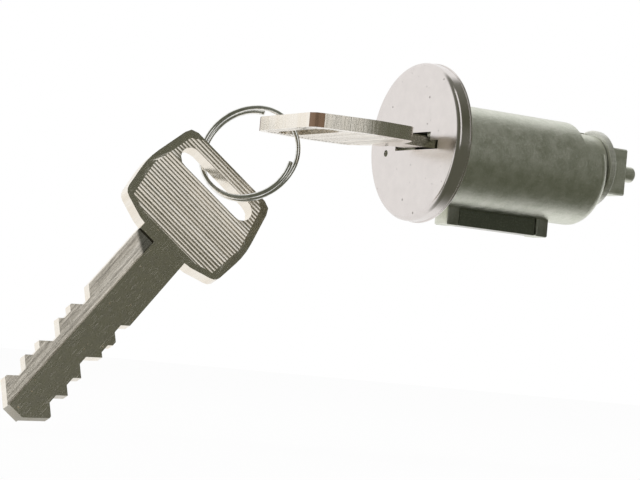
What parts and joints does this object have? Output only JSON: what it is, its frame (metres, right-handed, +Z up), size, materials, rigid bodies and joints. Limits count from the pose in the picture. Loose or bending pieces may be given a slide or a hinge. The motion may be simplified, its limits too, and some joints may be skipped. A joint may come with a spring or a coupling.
{
  "type": "ignition lock cylinder",
  "caption": "Ignition lock cylinder with a round face cap, a turning wafer rotor and tail, a sprung retainer bar, a key in the lock and a spare key on a split ring.",
  "frame": {"origin": "on the lock's axis, at the back of the face cap", "axes": "+Y along the lock's axis from the face back to the tail, +Z up with the retainer rail below, +X to the right seen from the front"},
  "size_m": [0.0286, 0.113, 0.0626],
  "materials": {
    "zinc": "die-cast zinc, greenish grey, satin",
    "stainless": "pressed stainless sheet, satin bright",
    "dark_steel": "dark phosphated steel",
    "clip_steel": "stamped steel, dull",
    "wafer_brass": "stamped brass",
    "spring_steel": "bright spring wire",
    "key_nickel": "nickel-plated brass",
    "ring_steel": "bright nickel-plated spring wire"
  },
  "bodies": {
    "housing": {"housing": "zinc", "bar_spring_1": "spring_steel", "bar_spring_2": "spring_steel"},
    "rotor": {"rotor": "zinc", "face_cap": "stainless", "retaining_clip": "clip_steel", "wafer_01": "wafer_brass", "wafer_02": "wafer_brass", "wafer_03": "wafer_brass", "wafer_04": "wafer_brass", "wafer_05": "wafer_brass", "wafer_06": "wafer_brass", "wafer_07": "wafer_brass", "wafer_08": "wafer_brass", "wafer_09": "wafer_brass", "wafer_10": "wafer_brass", "wafer_spring_01": "spring_steel", "wafer_spring_02": "spring_steel", "wafer_spring_03": "spring_steel", "wafer_spring_04": "spring_steel", "wafer_spring_05": "spring_steel", "wafer_spring_06": "spring_steel", "wafer_spring_07": "spring_steel", "wafer_spring_08": "spring_steel", "wafer_spring_09": "spring_steel", "wafer_spring_10": "spring_steel"},
    "retainer_bar": {"retainer_bar": "dark_steel"},
    "key": {"key": "key_nickel"},
    "split_ring": {"split_ring": "ring_steel"},
    "spare_key": {"spare_key": "key_nickel"}
  },
  "joints": [
    {"name": "rotor_turn", "type": "hinge", "parent": "housing", "child": "rotor", "pos_m": [0, 0, 0], "axis": [0, 1, 0], "range_deg": [-78, 88]},
    {"name": "bar_press", "type": "slide", "parent": "housing", "child": "retainer_bar", "axis": [0, 0, 1], "range_m": [0, 0.00135], "stiffness_N_per_m": 900, "springref_m": -0.001, "deforming": ["bar_spring_1", "bar_spring_2"]},
    {"name": "key_slide", "type": "slide", "parent": "rotor", "child": "key", "axis": [0, -1, 0], "range_m": [0, 0.037]},
    {"name": "ring_swing", "type": "hinge", "parent": "key", "child": "split_ring", "pos_m": [0, -0.0238, 0.0005], "axis": [1, 0, 0], "range_deg": [-45, 25]},
    {"name": "spare_slide", "type": "hinge", "parent": "split_ring", "child": "spare_key", "pos_m": [-0.0085, -0.02768, -0.00487], "axis": [0.5913, -0.7281, 0.3469], "range_deg": [-75, 60]}
  ]
}
